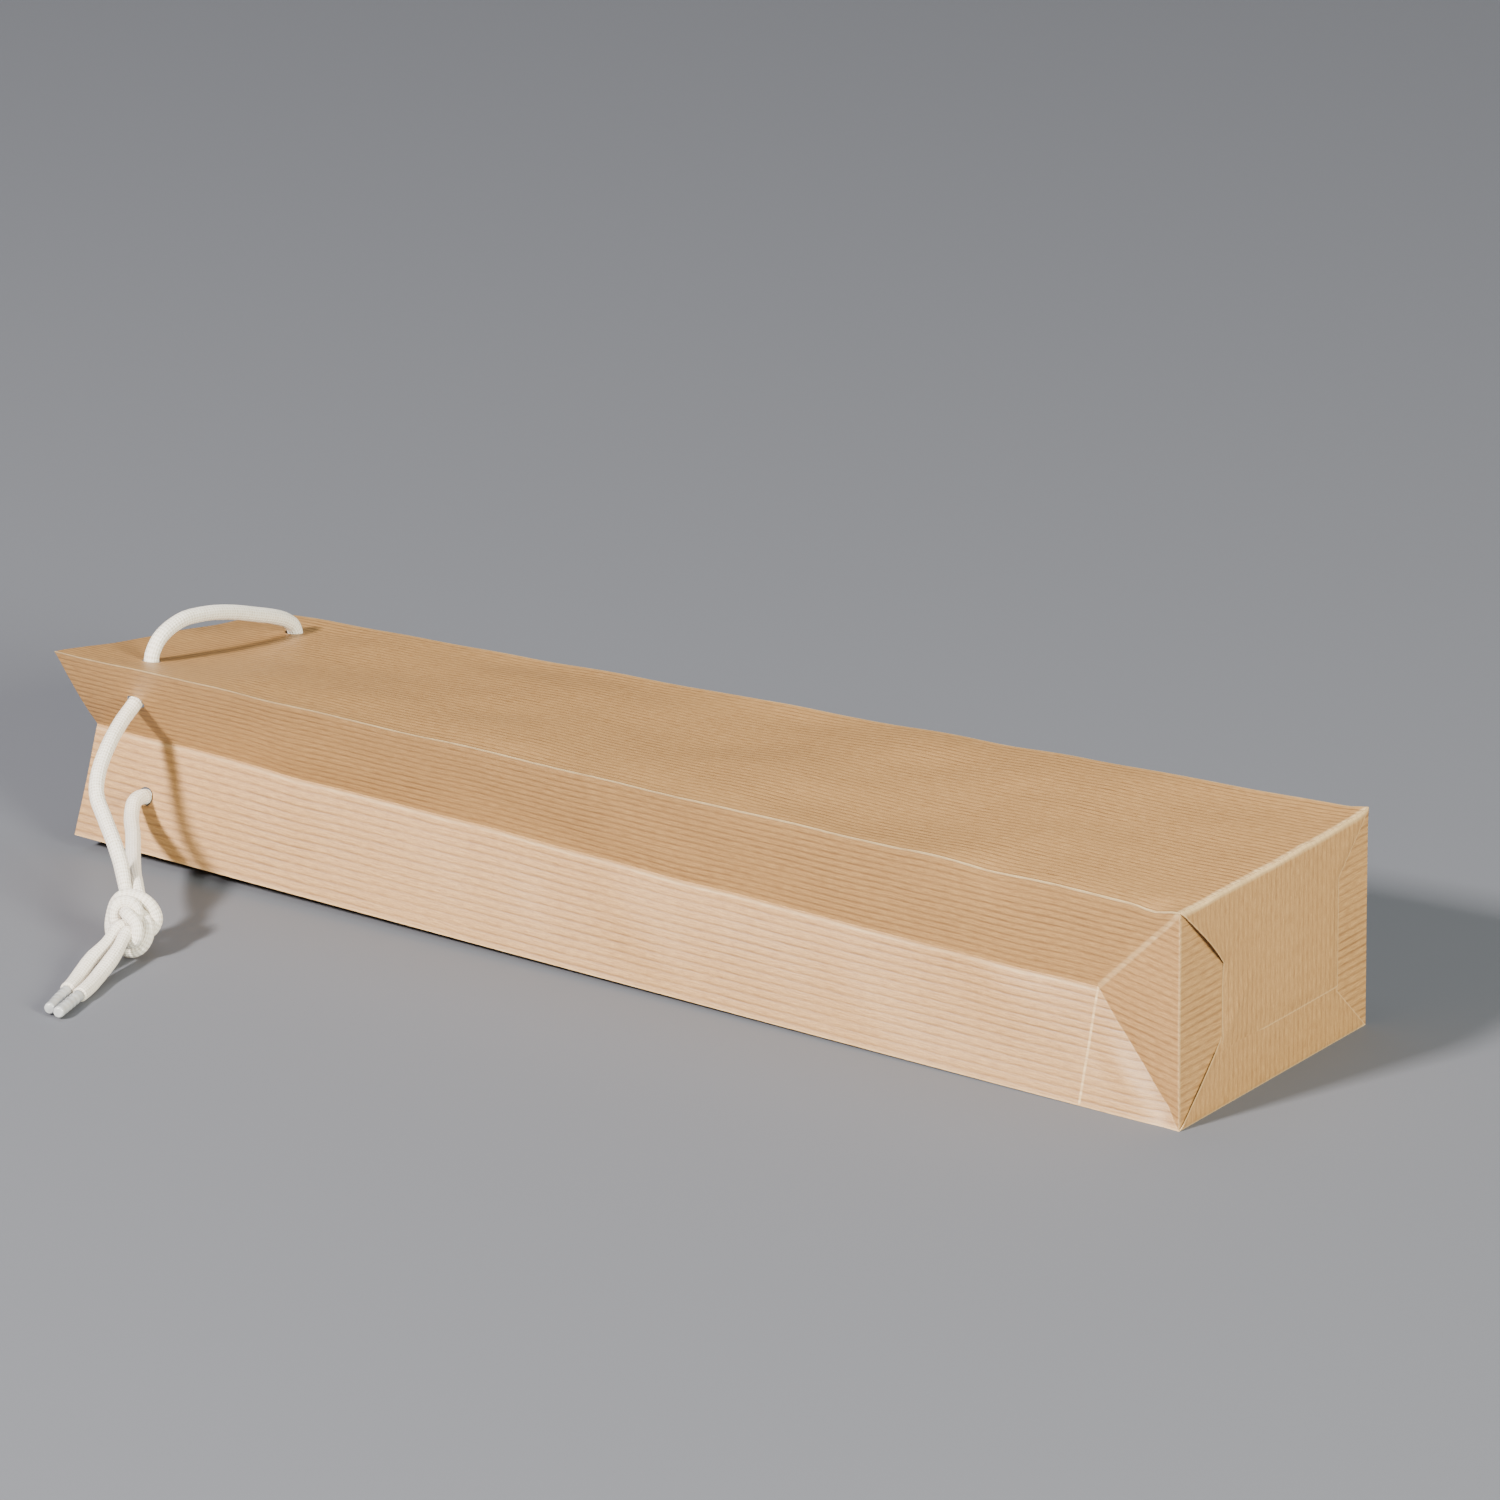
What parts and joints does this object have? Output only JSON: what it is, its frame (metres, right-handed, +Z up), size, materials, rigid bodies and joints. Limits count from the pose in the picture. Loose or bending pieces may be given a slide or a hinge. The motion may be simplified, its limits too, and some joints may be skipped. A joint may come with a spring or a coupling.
{
  "type": "paper bottle bag",
  "caption": "Gusseted kraft paper bottle bag lying on its side, with a folded block bottom and a knotted cotton cord threaded through punched holes at the mouth.",
  "frame": {"origin": "on the table, under the middle of the bag's box as it lies, measured without the cord", "axes": "+X from the mouth to the block bottom, +Y away from the side with the knot, +Z up"},
  "size_m": [0.381, 0.2019, 0.0708],
  "materials": {
    "kraft_paper": "ribbed, slightly glossy machine-glazed kraft",
    "cotton_cord": "matt woven cotton",
    "clear_plastic": "cloudy clear film"
  },
  "bodies": {
    "root": {"paper_bag": "kraft_paper", "handle_cord": "cotton_cord", "cord_knot": "cotton_cord", "cord_tail_left": "cotton_cord", "cord_tail_right": "cotton_cord", "aglet_left": "clear_plastic", "aglet_right": "clear_plastic"}
  },
  "joints": []
}
